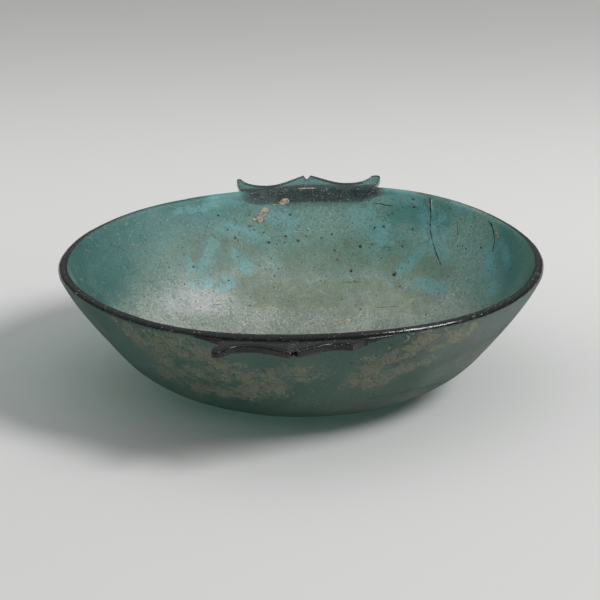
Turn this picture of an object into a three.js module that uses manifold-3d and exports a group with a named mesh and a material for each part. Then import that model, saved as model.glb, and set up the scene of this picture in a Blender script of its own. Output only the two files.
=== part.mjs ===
// A cast glass bowl with two ledge handles under its rim, in millimetres, +Z up.
// The origin is the middle of the foot, and the handles lie on the Y axis.

import * as THREE from "three";
import { mergeVertices } from "three/addons/utils/BufferGeometryUtils.js";
import Module from "manifold-3d";

const wasm = await Module();
wasm.setup();

// Vessel
const RIM_RADIUS = 85;
const BOWL_HEIGHT = 44.8;
const FOOT_RADIUS = 23;
const FOOT_SPREAD = 23.5;
const KNEE_RADIUS = 66.4;
const KNEE_HEIGHT = 17.3;
const KNEE_SLOPE = THREE.MathUtils.degToRad(51);
const RIM_SLOPE = THREE.MathUtils.degToRad(64);
const FLOOR_THICKNESS = 4;
const WALL_THICKNESS = 2.8;
const RIM_THICKNESS = 3.5;

// How far the rim rises and falls from a level circle: one, two, three and five
// crests round it, each with its height and the direction of its first crest
const TILT = 1.0;
const TILT_CREST = THREE.MathUtils.degToRad(-30.6);
const SADDLE = 0.71;
const SADDLE_CREST = THREE.MathUtils.degToRad(69.6);
const RIPPLE = 0.42;
const RIPPLE_CREST = THREE.MathUtils.degToRad(63.4);
const FLUTTER = 0.38;
const FLUTTER_CREST = THREE.MathUtils.degToRad(62.2);

// Ledge handles: offsets along the tangent, reaches outwards from the rim's circle.
// Each has a notched peak, a hollow lobe either side and a hooked tip at each end.
// A shallow groove runs on from the notch over the top, and fades out at the wall.
const NOTCH_SHIFT = 0.7;
const NOTCH_HALF_WIDTH = 1.3;
const NOTCH_DEPTH = 3.4;
const GROOVE_DEPTH = 0.5;
const PEAK_REACH = 14.8;
const LOBE_OFFSET = 16.2;
const LOBE_REACH = 5.15;
const TIP_REACH = 12.4;
const ROUND_TIP_RADIUS = 1.9;
const POINTED_TIP_RADIUS = 0.9;
const HOOK_ARM = 2.4;
const HANDLE_HALF_WIDTH = 26.9;
const HANDLE_WAIST = 24.6;
const HANDLE_DROP = 0.65;
const ROOT_THICKNESS = 3;
const PEAK_THICKNESS = 2.3;
const HANDLE_EDGE_RADIUS = 0.6;
const ROOT_FILLET = 1.4;
const LIP_RISE = 0.95;

// Wings that carry each handle's root on along the wall and fade out
const ROOT_FADE_OFFSET = 19;
const WING_OFFSET = 33;
const WING_THICKNESS = 1.6;
const WING_END_THICKNESS = 0.5;
const WING_END_HEIGHT = 0.8;

// The front handle's +X half: worn back along its edge, and its tip snapped off
const WORN_DEPTH = 1.5;
const BREAK_OFFSET = 19.8;
const BREAK_REACH = 4;
const BREAK_ROOT_OFFSET = 24.4;
const BREAK_KINK = 0.6;

// Clearance between a handle and the wall it sits on
const SEAT_GAP = 0.3;

// A handle's root runs this far behind the wall's face before it is cut to fit
const ROOT_DEPTH = 5;

// Fineness of the facets
const ROUND_SEGMENTS = 96;
const FOOT_STEPS = 7;
const WALL_STEPS = 8;
const RIM_STEPS = 6;
const OUTLINE_STEPS = 7;
const TIP_STEPS = 3;
const SIDE_STEPS = 2;
const STATION_STEP = 0.1;
const WING_STEPS = 5;
const EDGE_STEPS = 3;

// Where a curve's free points lie, as shares of the way between its two ends
const CUSP_START = 0.39;
const CUSP_DIP = 0.52;
const CUSP_END = 0.65;
const HOOK_START = 0.7;
const TIP_TURN = THREE.MathUtils.degToRad(165);
const ARC_MIDDLE = 1 - Math.SQRT1_2;
const WING_FADE = 1.5;

const BOWL_COLOUR = 0x5c8f8c;
const HANDLE_COLOUR = 0x2f4a49;

const { clamp, lerp, smoothstep } = THREE.MathUtils;

function glass(colour) {
  return new THREE.MeshStandardMaterial({ color: colour, roughness: 0.35, metalness: 0 });
}

function solidFrom(geometry) {
  const bare = geometry.clone();
  bare.deleteAttribute("normal");
  bare.deleteAttribute("uv");
  const merged = mergeVertices(bare, 1e-4);
  const index = merged.index.array;
  const triangles = [];
  for (let i = 0; i < index.length; i += 3) {
    const [a, b, c] = [index[i], index[i + 1], index[i + 2]];
    if (a !== b && b !== c && c !== a) triangles.push(a, b, c);
  }
  return new wasm.Manifold(new wasm.Mesh({
    numProp: 3,
    vertProperties: new Float32Array(merged.attributes.position.array),
    triVerts: new Uint32Array(triangles),
  }));
}

function geometryFrom(solid) {
  const mesh = solid.getMesh();
  const geometry = new THREE.BufferGeometry();
  geometry.setAttribute("position", new THREE.BufferAttribute(mesh.vertProperties, 3));
  geometry.setIndex(new THREE.BufferAttribute(mesh.triVerts, 1));
  geometry.computeVertexNormals();
  return geometry;
}

// The cast rim is not level. Its rise and fall fades to nothing at the flat foot,
// and it grows with the distance from the axis, so that it is smooth at the middle.
function rimRise(angle, out) {
  const waves = [
    [1, TILT, TILT_CREST],
    [2, SADDLE, SADDLE_CREST],
    [3, RIPPLE, RIPPLE_CREST],
    [5, FLUTTER, FLUTTER_CREST],
  ];
  return waves.reduce(
    (sum, [crests, height, first]) => sum + height * out ** crests * Math.cos(crests * (angle - first)),
    0,
  );
}

function slump(geometry) {
  const position = geometry.attributes.position;
  for (let i = 0; i < position.count; i += 1) {
    const [x, y, z] = [position.getX(i), position.getY(i), position.getZ(i)];
    const out = Math.min(1, Math.hypot(x, y) / RIM_RADIUS);
    position.setZ(i, z + rimRise(Math.atan2(y, x), out) * (z / BOWL_HEIGHT) ** 2);
  }
  return geometry;
}

// Outer face in the radius and height plane, from the foot's edge up to the rim
function outerFace() {
  const foot = new THREE.Vector2(FOOT_RADIUS, 0);
  const knee = new THREE.Vector2(KNEE_RADIUS, KNEE_HEIGHT);
  const rim = new THREE.Vector2(RIM_RADIUS, BOWL_HEIGHT - RIM_THICKNESS / 2);
  const kneeArm = KNEE_HEIGHT / Math.sin(KNEE_SLOPE) / 2;
  const wallArm = knee.distanceTo(rim) / 3;
  const kneeWay = new THREE.Vector2(Math.cos(KNEE_SLOPE), Math.sin(KNEE_SLOPE));
  const rimWay = new THREE.Vector2(Math.cos(RIM_SLOPE), Math.sin(RIM_SLOPE));
  const underside = new THREE.CubicBezierCurve(
    foot,
    new THREE.Vector2(FOOT_RADIUS + FOOT_SPREAD, 0),
    knee.clone().addScaledVector(kneeWay, -kneeArm),
    knee,
  );
  const wall = new THREE.CubicBezierCurve(
    knee,
    knee.clone().addScaledVector(kneeWay, wallArm),
    rim.clone().addScaledVector(rimWay, -wallArm),
    rim,
  );
  return { underside, wall };
}

// Points of the outer face moved along its outward normal, inwards where negative
function offsetFace(distanceAt) {
  const { underside, wall } = outerFace();
  const points = [];
  const add = (curve, steps, first, base) => {
    for (let i = first; i <= steps; i += 1) {
      const t = i / steps;
      const point = curve.getPoint(t);
      const way = curve.getTangent(t);
      const distance = distanceAt(base + t);
      points.push(new THREE.Vector2(point.x + way.y * distance, point.y - way.x * distance));
    }
  };
  add(underside, FOOT_STEPS, 0, 0);
  add(wall, WALL_STEPS, 1, 1);
  return points;
}

function outerRadiusAt(height) {
  const points = offsetFace(() => 0);
  for (let i = 1; i < points.length; i += 1) {
    if (height <= points[i].y) {
      const t = (height - points[i - 1].y) / (points[i].y - points[i - 1].y);
      return lerp(points[i - 1].x, points[i].x, t);
    }
  }
  return points[points.length - 1].x;
}

function revolve(profile) {
  return new THREE.LatheGeometry(profile, ROUND_SEGMENTS).rotateX(Math.PI / 2);
}

// Thickness from the foot's edge (0) past the knee (1) to the rim (2)
function thicknessAt(s) {
  if (s < 1) return lerp(FLOOR_THICKNESS, WALL_THICKNESS, s);
  return lerp(WALL_THICKNESS, RIM_THICKNESS, (s - 1) ** 2);
}

function bowl() {
  const outside = offsetFace(() => 0);
  const inside = offsetFace((s) => -thicknessAt(s)).reverse();
  const outerLip = outside[outside.length - 1];
  const innerLip = inside[0];
  const middle = outerLip.clone().add(innerLip).multiplyScalar(0.5);
  const across = outerLip.clone().sub(innerLip).multiplyScalar(0.5);
  const up = new THREE.Vector2(-across.y, across.x);
  const lip = [];
  for (let i = 1; i < RIM_STEPS; i += 1) {
    const angle = (Math.PI * i) / RIM_STEPS;
    lip.push(middle.clone()
      .addScaledVector(across, Math.cos(angle))
      .addScaledVector(up, Math.sin(angle)));
  }
  const axisLow = new THREE.Vector2(0, 0);
  const axisHigh = new THREE.Vector2(0, FLOOR_THICKNESS);
  return slump(revolve([axisLow, ...outside, ...lip, ...inside, axisHigh]));
}

// The wall's outer form, filled and grown by the seat gap, that the handles are cut to
function seatForm() {
  const face = offsetFace(() => SEAT_GAP);
  const top = BOWL_HEIGHT + RIM_THICKNESS;
  const last = face[face.length - 1];
  return solidFrom(slump(revolve([
    new THREE.Vector2(0, -SEAT_GAP),
    ...face,
    new THREE.Vector2(last.x, top),
    new THREE.Vector2(0, top),
  ])));
}

// Half of the bracket outline, from the notch out to the end of the tip. The notch
// lies notchAt from the handle's middle, and loss is how far the edge is worn back.
function halfOutline({ notchAt, tipRadius, loss }) {
  const tip = new THREE.Vector2(HANDLE_HALF_WIDTH - tipRadius, TIP_REACH - tipRadius - loss);
  const aroundTip = (angle) => new THREE.Vector2(
    tip.x + tipRadius * Math.cos(angle),
    tip.y + tipRadius * Math.sin(angle),
  );
  const peak = new THREE.Vector2(notchAt + NOTCH_HALF_WIDTH, PEAK_REACH - loss);
  const lobe = new THREE.Vector2(LOBE_OFFSET, LOBE_REACH - loss);
  const tipStart = aroundTip(TIP_TURN);
  const cusp = new THREE.CubicBezierCurve(
    peak,
    new THREE.Vector2(lerp(peak.x, lobe.x, CUSP_START), lerp(peak.y, lobe.y, CUSP_DIP)),
    new THREE.Vector2(lerp(peak.x, lobe.x, CUSP_END), lobe.y),
    lobe,
  );
  const hook = new THREE.CubicBezierCurve(
    lobe,
    new THREE.Vector2(lerp(lobe.x, tipStart.x, HOOK_START), lobe.y),
    tipStart.clone().addScaledVector(new THREE.Vector2(Math.sin(TIP_TURN), -Math.cos(TIP_TURN)), -HOOK_ARM),
    tipStart,
  );
  const points = [new THREE.Vector2(notchAt, PEAK_REACH - NOTCH_DEPTH)];
  points.push(...cusp.getPoints(OUTLINE_STEPS));
  points.push(...hook.getPoints(OUTLINE_STEPS).slice(1));
  for (let i = 1; i <= TIP_STEPS; i += 1) points.push(aroundTip(TIP_TURN * (1 - i / TIP_STEPS)));
  return points;
}

// Where the wall's face lies behind the rim's tangent line
function wallReach(offset, height) {
  const radius = outerRadiusAt(height);
  return Math.sqrt(radius * radius - offset * offset) - RIM_RADIUS;
}

// A handle's top face where it meets the wall, and how deep its root is there
const HANDLE_TOP = BOWL_HEIGHT - HANDLE_DROP;
const WAIST_SHARE = HANDLE_WAIST / HANDLE_HALF_WIDTH;

function rootHeight(offset) {
  const left = clamp((WING_OFFSET - Math.abs(offset)) / (WING_OFFSET - ROOT_FADE_OFFSET), 0, 1);
  return lerp(WING_END_HEIGHT, ROOT_THICKNESS + ROOT_FILLET, left ** WING_FADE);
}

// One closed cross-section of a handle: along the top, round the edge, back
// underneath and down the fillet to the wall. A wing's section hugs the wall.
function handleRing({ offset, reach, groove, hugs }) {
  const wallAt = (level) => wallReach(offset * WAIST_SHARE, level);
  const height = rootHeight(offset * WAIST_SHARE);
  const foot = HANDLE_TOP - height;
  const root = wallAt(HANDLE_TOP);
  const edge = Math.max(reach, root + WING_END_THICKNESS);
  const share = (out) => Math.max(0, (out - root) / (PEAK_REACH - root));
  const lip = (out) => HANDLE_TOP + LIP_RISE * share(out);
  const over = (out) => lip(out) - groove * share(out);
  const rootThickness = Math.min(ROOT_THICKNESS, height);
  const under = (out) => (hugs ? foot : lip(out) - lerp(rootThickness, PEAK_THICKNESS, share(out)));
  const radius = Math.min(HANDLE_EDGE_RADIUS, (edge - root) / 2, (over(edge) - under(edge)) / 2);
  const inner = edge - radius;
  const ring = [];
  const put = (out, level) => {
    const spread = smoothstep(out, root, TIP_REACH);
    const shift = hugs ? wallAt(level) - root : 0;
    ring.push([offset * lerp(WAIST_SHARE, 1, spread), RIM_RADIUS + out + shift, level]);
  };
  const around = (angle, middle) => {
    put(inner + radius * Math.cos(angle), middle + radius * Math.sin(angle));
  };
  put(root - ROOT_DEPTH, HANDLE_TOP);
  put(root, HANDLE_TOP);
  put((root + edge) / 2, over((root + edge) / 2));
  for (let i = 0; i <= EDGE_STEPS; i += 1) {
    around((Math.PI / 2) * (1 - i / EDGE_STEPS), over(edge) - radius);
  }
  for (let i = 1; i <= EDGE_STEPS; i += 1) {
    around((-Math.PI / 2) * (i / EDGE_STEPS), under(edge) + radius);
  }
  const seat = hugs ? root : wallAt(foot + ROOT_FILLET);
  const fillet = Math.min(ROOT_FILLET, (inner - seat) / 2);
  const start = seat + fillet;
  put((inner + start) / 2, under((inner + start) / 2));
  put(start, under(start));
  put(seat + fillet * ARC_MIDDLE, lerp(under(start), foot, ARC_MIDDLE));
  put(hugs ? root : wallAt(foot), foot);
  put((hugs ? root : wallAt(foot)) - ROOT_DEPTH, foot);
  return ring;
}

// Closed skin over a row of rings that have the same number of points
function loft(rings) {
  const count = rings[0].length;
  const index = [];
  for (let i = 0; i + 1 < rings.length; i += 1) {
    for (let j = 0; j < count; j += 1) {
      const k = (j + 1) % count;
      const [a, b] = [i * count + j, i * count + k];
      index.push(a, a + count, b, b, a + count, b + count);
    }
  }
  const last = (rings.length - 1) * count;
  for (let j = 1; j + 1 < count; j += 1) {
    index.push(0, j, j + 1);
    index.push(last, last + j + 1, last + j);
  }
  const geometry = new THREE.BufferGeometry();
  geometry.setAttribute("position", new THREE.Float32BufferAttribute(rings.flat(2), 3));
  geometry.setIndex(index);
  return geometry;
}

// Stations of half a handle, from the notch to the end of its wing
function halfStations(half) {
  const stations = halfOutline(half).map(({ x, y }, i) => (
    { offset: x, reach: y, groove: i === 0 ? GROOVE_DEPTH : 0, hugs: false }
  ));
  const side = stations[stations.length - 1].reach;
  const waistFace = wallReach(HANDLE_WAIST, HANDLE_TOP) + WING_THICKNESS;
  for (let i = 1; i <= SIDE_STEPS; i += 1) {
    const share = i / (SIDE_STEPS + 1);
    stations.push({
      offset: HANDLE_HALF_WIDTH + STATION_STEP * share,
      reach: lerp(side, waistFace, share),
      groove: 0,
      hugs: false,
    });
  }
  for (let i = 0; i <= WING_STEPS; i += 1) {
    const share = i / WING_STEPS;
    const offset = lerp(HANDLE_WAIST + STATION_STEP, WING_OFFSET, share);
    stations.push({
      offset: offset / WAIST_SHARE,
      reach: wallReach(offset, HANDLE_TOP) + lerp(WING_THICKNESS, WING_END_THICKNESS, share),
      groove: 0,
      hugs: true,
    });
  }
  return stations;
}

// A handle at the +Y side, before it is cut to the wall. Its notch is off the middle,
// so its +X half, with the round tip, is the longer one.
function handleBody(loss) {
  const longer = halfStations({ notchAt: -NOTCH_SHIFT, tipRadius: ROUND_TIP_RADIUS, loss: 0 });
  const shorter = halfStations({ notchAt: NOTCH_SHIFT, tipRadius: POINTED_TIP_RADIUS, loss });
  const mirrored = shorter.slice(1).map((station) => ({ ...station, offset: -station.offset }));
  return loft([...mirrored.reverse(), ...longer].map(handleRing));
}

// What is missing from the front handle: its +X tip, snapped off close to the wall
function brokenTip() {
  const far = HANDLE_HALF_WIDTH + PEAK_REACH;
  const face = wallReach(BREAK_ROOT_OFFSET, BOWL_HEIGHT) + WING_THICKNESS;
  const outline = new THREE.Shape();
  outline.moveTo(BREAK_OFFSET - BREAK_KINK, -far);
  outline.lineTo(BREAK_OFFSET, -BREAK_REACH);
  outline.lineTo((BREAK_OFFSET + BREAK_ROOT_OFFSET) / 2 - BREAK_KINK, lerp(-BREAK_REACH, -face, 1 / 2));
  outline.lineTo(BREAK_ROOT_OFFSET - BREAK_KINK, -face);
  outline.lineTo(BREAK_ROOT_OFFSET + 2 * BREAK_KINK, -face);
  outline.lineTo(far, -far);
  outline.closePath();
  const depth = 4 * (ROOT_THICKNESS + ROOT_FILLET);
  const prism = new THREE.ExtrudeGeometry(outline, { depth, bevelEnabled: false });
  return solidFrom(prism.translate(0, -RIM_RADIUS, BOWL_HEIGHT - depth / 2));
}

const seat = seatForm();

function backHandle() {
  return geometryFrom(solidFrom(slump(handleBody(0))).subtract(seat));
}

function frontHandle() {
  const turned = slump(handleBody(WORN_DEPTH).rotateZ(Math.PI));
  return geometryFrom(solidFrom(turned).subtract(seat).subtract(brokenTip()));
}

function piece(name, geometry, colour) {
  const mesh = new THREE.Mesh(geometry, glass(colour));
  mesh.name = name;
  return mesh;
}

const vessel = new THREE.Group();
vessel.add(piece("bowl", bowl(), BOWL_COLOUR));
vessel.add(piece("back_handle", backHandle(), HANDLE_COLOUR));
vessel.add(piece("front_handle", frontHandle(), HANDLE_COLOUR));

export default vessel;
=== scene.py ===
import math
import random

import bmesh
import bpy
import numpy as np
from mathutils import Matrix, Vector, noise
from mathutils.bvhtree import BVHTree


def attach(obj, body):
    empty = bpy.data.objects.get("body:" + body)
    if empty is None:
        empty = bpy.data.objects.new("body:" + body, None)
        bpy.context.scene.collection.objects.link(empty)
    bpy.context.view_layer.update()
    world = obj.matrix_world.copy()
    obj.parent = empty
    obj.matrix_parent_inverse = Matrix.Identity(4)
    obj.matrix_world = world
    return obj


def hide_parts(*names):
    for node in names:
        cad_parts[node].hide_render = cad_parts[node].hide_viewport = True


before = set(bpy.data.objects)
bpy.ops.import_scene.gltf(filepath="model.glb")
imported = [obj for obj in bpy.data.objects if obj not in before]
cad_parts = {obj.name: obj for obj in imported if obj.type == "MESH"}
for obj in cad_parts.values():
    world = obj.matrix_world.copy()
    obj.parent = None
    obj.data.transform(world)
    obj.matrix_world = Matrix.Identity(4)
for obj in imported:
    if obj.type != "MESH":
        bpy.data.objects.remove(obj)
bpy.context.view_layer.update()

# Sizes in metres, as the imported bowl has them
MM = 0.001
RIM_RADIUS = 85 * MM
BOWL_HEIGHT = 44.8 * MM
FOOT_RADIUS = 23 * MM
FOOT_SPREAD = 23.5 * MM
KNEE_RADIUS = 66.4 * MM
KNEE_HEIGHT = 17.3 * MM
KNEE_SLOPE = math.radians(51)
RIM_SLOPE = math.radians(64)
FLOOR_THICKNESS = 4 * MM
WALL_THICKNESS = 2.8 * MM
RIM_THICKNESS = 3.5 * MM

# Rise and fall of the rim: number of crests, height, and direction of the first crest
RIM_WAVES = (
    (1, 1.0 * MM, math.radians(-30.6)),
    (2, 0.71 * MM, math.radians(69.6)),
    (3, 0.42 * MM, math.radians(63.4)),
    (5, 0.38 * MM, math.radians(62.2)),
)

# Ledge handles: offsets along the tangent, reaches outwards from the rim's circle
NOTCH_SHIFT = 0.7 * MM
NOTCH_HALF_WIDTH = 1.3 * MM
NOTCH_DEPTH = 3.4 * MM
GROOVE_DEPTH = 0.5 * MM
PEAK_REACH = 14.8 * MM
LOBE_OFFSET = 16.2 * MM
LOBE_REACH = 5.15 * MM
TIP_REACH = 12.4 * MM
ROUND_TIP_RADIUS = 1.9 * MM
POINTED_TIP_RADIUS = 0.9 * MM
HOOK_ARM = 2.4 * MM
HANDLE_HALF_WIDTH = 26.9 * MM
HANDLE_WAIST = 24.6 * MM
HANDLE_DROP = 0.65 * MM
HANDLE_TOP = BOWL_HEIGHT - HANDLE_DROP
ROOT_THICKNESS = 3 * MM
PEAK_THICKNESS = 2.3 * MM
HANDLE_EDGE_RADIUS = 0.6 * MM
ROOT_FILLET = 1.4 * MM
LIP_RISE = 0.95 * MM
ROOT_FADE_OFFSET = 19 * MM
WING_OFFSET = 33 * MM
WING_THICKNESS = 1.6 * MM
WING_END_THICKNESS = 0.5 * MM
WING_END_HEIGHT = 0.8 * MM

# How far a handle's glass runs into the wall's here, where the two are one casting
ROOT_DEPTH = 1.6 * MM

# The front handle's +X half: worn back along its edge, and its tip snapped off
WORN_DEPTH = 1.5 * MM
BREAK_OFFSET = 19.8 * MM
BREAK_REACH = 4 * MM
BREAK_ROOT_OFFSET = 24.4 * MM
BREAK_KINK = 0.6 * MM

# Shares and turns that shape the handles' curves
CUSP_START = 0.39
CUSP_DIP = 0.52
CUSP_END = 0.65
HOOK_START = 0.7
TIP_TURN = math.radians(165)
WING_FADE = 1.5
WAIST_SHARE = HANDLE_WAIST / HANDLE_HALF_WIDTH

# The photograph's camera: it looks at the middle of the rim
CAMERA_DISTANCE = 1.394
CAMERA_AZIMUTH = math.radians(1.7)
CAMERA_ELEVATION = math.radians(18.63)
FOCAL_PIXELS = 3966
FRAME_PIXELS = 600
SENSOR = 36.0
AIM_PIXEL = (300.93, 259.93)
CAMERA_TARGET = Vector((0, 0, BOWL_HEIGHT))
CAMERA_FAR_LIMIT = 20

# Places on the glass, as pixels of the photograph's 600 by 600 frame. Each ray through
# such a pixel is cast onto the bowl, and the mark lies where it first meets the glass.
# Stains and painted light are lines of pixels, each with the radius of the patch around it.
# A painted highlight: the key lamp's blurred reflection on the inner wall, painted on as a milky film
PAINTED_HIGHLIGHT = (
    (((176, 302), (196, 303), (218, 303)), 6.5 * MM),
    (((190, 293), (212, 292)), 4 * MM),
)
# Painted shade: a deeper, darker teal on parts of the wall, most of all on the left, where the bowl's own
# shadow lies behind the glass
DEEP_TEAL_SHADE = (
    (((74, 268), (84, 254), (100, 242)), 9 * MM),
    (((84, 290), (100, 300)), 7 * MM),
    (((104, 240), (150, 222), (220, 206)), 10 * MM),
    (((120, 262), (100, 282)), 8 * MM),
    (((400, 214), (440, 216)), 6 * MM),
    (((504, 240), (512, 276)), 7 * MM),
)
PALE = (
    (((450, 236), (500, 262), (470, 292)), 14 * MM),
    (((400, 290), (440, 296)), 12 * MM),
)
TURQUOISE = (
    (((225, 229), (252, 233)), 3.5 * MM),
    (((266, 209), (276, 220)), 2.6 * MM),
    (((203, 268), (214, 244)), 3.4 * MM),
    (((188, 260), (192, 274)), 2.6 * MM),
    (((236, 254), (247, 268)), 3 * MM),
    (((194, 284), (230, 284)), 3.6 * MM),
    (((250, 239), (266, 238)), 2 * MM),
    (((293, 221), (299, 223)), 2 * MM),
    (((366, 216), (384, 238)), 4.5 * MM),
    (((428, 206), (431, 240), (444, 256)), 4 * MM),
    (((443, 218), (445, 244)), 3 * MM),
    (((402, 270), (422, 250)), 3.2 * MM),
    (((418, 284), (442, 290)), 3.4 * MM),
    (((410, 198), (424, 202)), 2.6 * MM),
    (((487, 252), (494, 292)), 3.4 * MM),
    (((502, 246), (508, 262)), 3 * MM),
    (((176, 210), (214, 206)), 2 * MM),
    (((283, 210), (290, 232)), 2 * MM),
    (((352, 206), (356, 222)), 2.4 * MM),
    (((452, 204), (470, 214)), 2.4 * MM),
)
OLIVE = (
    (((190, 252), (245, 244)), 9 * MM),
    (((300, 262), (350, 256)), 10 * MM),
    (((392, 262), (440, 268)), 8 * MM),
    (((256, 290), (330, 296), (420, 296)), 9 * MM),
)
# Painted shade: a dark, mottled band where the handle behind the wall shows through
ROOT_SHADE_BAND = (
    (((248, 190), (262, 195), (290, 197), (330, 197), (362, 194), (374, 188)), 3.6 * MM),
    (((262, 190), (370, 189)), 3 * MM),
)
VEIL = (
    (((214, 195), (236, 193)), 4 * MM),
    (((390, 190), (404, 193)), 4 * MM),
)
# Painted light: the outer wall lighter and greyer on the side that faces the key lamp
LIT_GREY = (
    (((448, 346), (500, 322), (526, 296)), 12 * MM),
    (((440, 372), (480, 356)), 8 * MM),
)
CRUST = (
    (((118, 322), (136, 338), (152, 350), (166, 362)), 6 * MM),
    (((158, 344), (190, 348), (212, 360)), 8 * MM),
    (((166, 374), (196, 372)), 5 * MM),
    (((196, 388), (240, 393), (276, 391)), 5 * MM),
    (((212, 370), (240, 374), (262, 382)), 7 * MM),
    (((276, 378), (306, 372)), 6 * MM),
    (((362, 378), (372, 366), (400, 356), (432, 340)), 6 * MM),
    (((374, 384), (392, 374), (428, 360)), 4.5 * MM),
    (((440, 345), (470, 330)), 4 * MM),
    (((464, 356), (492, 340)), 3 * MM),
)
STAINS_AND_PAINTED_LIGHT = {
    "highlight_patch": PAINTED_HIGHLIGHT,
    "turquoise": TURQUOISE,
    "olive": OLIVE,
    "crust": CRUST,
    "painted_root_shade": ROOT_SHADE_BAND,
    "veil": VEIL,
    "grey": LIT_GREY,
    "teal_shade": DEEP_TEAL_SHADE,
    "pale": PALE,
}
# Pits, each with its radius in millimetres before it is scaled
PITS = (
    ((351, 271), 0.75), ((218.5, 215.3), 0.5), ((290, 215), 0.45), ((195.4, 301.5), 0.4),
    ((200.7, 307.2), 0.4), ((218.9, 312.5), 0.4), ((250, 305.3), 0.45), ((231.8, 302), 0.35),
    ((457.7, 246), 0.4), ((462.6, 246), 0.4), ((465.8, 249.2), 0.45), ((480.5, 247.5), 0.4),
    ((476.3, 255.2), 0.4), ((511.4, 268.9), 0.45), ((488.6, 270.6), 0.4), ((499.5, 282.9), 0.45),
    ((489.3, 287.1), 0.4), ((459.1, 296.9), 0.45), ((464.7, 292.7), 0.4), ((169, 267.5), 0.5),
    ((193.5, 267), 0.55), ((184.5, 284), 0.45), ((228.5, 280.4), 0.5), ((235.5, 238), 0.5),
    ((268.8, 242.5), 0.55), ((285.6, 236), 0.55), ((298, 241), 0.45), ((274.6, 276), 0.5),
    ((274, 287), 0.4), ((360.4, 246.4), 0.6), ((374.6, 227.7), 0.5), ((384, 226.6), 0.5),
    ((321.4, 238.2), 0.45), ((331.8, 234), 0.45), ((334.5, 250.4), 0.45), ((402.3, 246.4), 0.45),
    ((413.6, 199), 0.45), ((414.3, 207), 0.45), ((412.5, 229), 0.45), ((448, 276.6), 0.4),
    ((426, 314.5), 0.55), ((360.7, 309), 0.5), ((342, 298.6), 0.45), ((394.3, 274.5), 0.9),
    ((400, 286.4), 0.5), ((520.2, 246.4), 0.5), ((376.7, 356), 0.55), ((414.8, 357), 0.5),
    ((373.8, 394.3), 0.5), ((417, 337), 0.45), ((351.4, 363), 0.5), ((314.8, 372), 0.5),
    ((417.5, 381.4), 0.45), ((485, 332), 0.5), ((313, 350), 0.45),
)
PIT_SCALE = 1.25
# A light fleck in the middle of one large pit
RING_PIT = ((351, 271), 0.36)
# Boxes of pixels that are thick with pale specks, partly weathering and partly painted
# glints, most of all on the rim: left, top, right, bottom, number of specks
FROST_AND_GLINTS = (
    (102, 212, 168, 236, 150),
    (84, 238, 130, 262, 70),
    (150, 285, 235, 318, 130),
    (246, 187, 374, 203, 150),
    (300, 270, 480, 320, 120),
    (180, 220, 300, 320, 120),
    (470, 298, 540, 345, 170),
    (58, 255, 135, 330, 130),
)
# Pale specks on the front handle: partly white marks, partly painted glints
HANDLE_SPECKS_AND_GLINTS = (
    (214, 338, 360, 357, 70),
    (288, 341, 298, 357, 70),
    (300, 340, 350, 350, 40),
)
DARK_SPECKS = (
    (110, 215, 500, 320, 420),
    (246, 187, 374, 201, 160),
    (110, 325, 500, 385, 320),
)
# Cracks and scratches, then crusts: lines of pixels, each with its width in millimetres
CRACKS = (
    (((430, 197), (430.6, 214), (430, 229), (431.8, 238), (434.5, 248.6), (438, 257.5), (441, 266)), 0.55),
    (((488, 221), (491.4, 225), (493.5, 231.3), (494.6, 237.6), (494.2, 243), (492.5, 252)), 0.7),
    (((345, 282), (361, 282)), 0.3),
    (((376, 307.5), (398, 306.5)), 0.3),
    (((212, 304.4), (222.7, 304.4)), 0.25),
    (((366, 399), (402, 392.5), (441, 383)), 0.3),
    (((374, 203), (393, 206)), 0.4),
    (((457.7, 224.5), (457.7, 235)), 0.4),
)
DEPOSITS = (
    (((264.8, 207.6), (265, 211), (261, 216), (258.6, 222.6)), 3.0),
    (((252, 219.5), (257, 219.5)), 1.4),
    (((279, 203.4), (284, 202), (289, 200)), 2.6),
    (((272.7, 205), (277.7, 204.7)), 0.7),
    (((298, 188.6), (315, 188)), 0.6),
    (((431.4, 198), (431.8, 213)), 0.5),
    (((496.4, 231.5), (497.6, 239.5)), 1.2),
    (((337, 322), (347, 320), (358, 317)), 0.5),
    (((428.5, 203), (428.8, 208)), 0.7),
)

# The hollow along the top of a handle, inside its rounded edge, and its lean outwards
DISH_DEPTH = 0.5 * MM
DISH_LEAN = 1.6

# Slow waves of the cast wall, as height and waves to the metre. They fade out below a
# height, so that the foot stays flat.
WALL_WAVES = ((0.14 * MM, 60), (0.05 * MM, 190))
WAVE_FADE_HEIGHT = 3 * MM
# Chips along the rim: depth, waves to the metre, and the noise above which one starts
RIM_CHIPS = ((0.315 * MM, 420, 0.25), (0.1225 * MM, 1500, 0.2))

# Fineness of the surfaces
ROUND_STEPS = 900
UNDER_STEPS = 64
WALL_STEPS = 60
LIP_STEPS = 16
OUTLINE_STEPS = 26
TIP_STEPS = 10
SIDE_STEPS = 9
WING_STEPS = 16
EDGE_STEPS = 6
TOP_STEPS = 5
BELOW_STEPS = 4
FILLET_STEPS = 5
STATION_STEP = 0.1 * MM
VOXEL = 0.25 * MM
SMOOTHING = 0.5
SMOOTH_PASSES = 3

# How far the cutter of the broken tip reaches above and below the handle
CUTTER_REACH = 12 * MM

# Patches of stain and of painted light: pixels between points, the share of the radius at
# which one is gone, and how far apart two points of one face may be on the way over the rim
PATCH_STEP = 3
PATCH_REACH = 1.4
SAME_FACE = 0.5

# Flecks: their corners, how ragged they are, how far they rise over the glass, and
# how deep their edge and their keel lie in it
FLECK_SIDES = 7
FLECK_RAGGED = (0.65, 1.25)
FLECK_RISE = 0.03 * MM
FLECK_SINK = 0.02 * MM
FLECK_KEEL = 0.08 * MM

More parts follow.
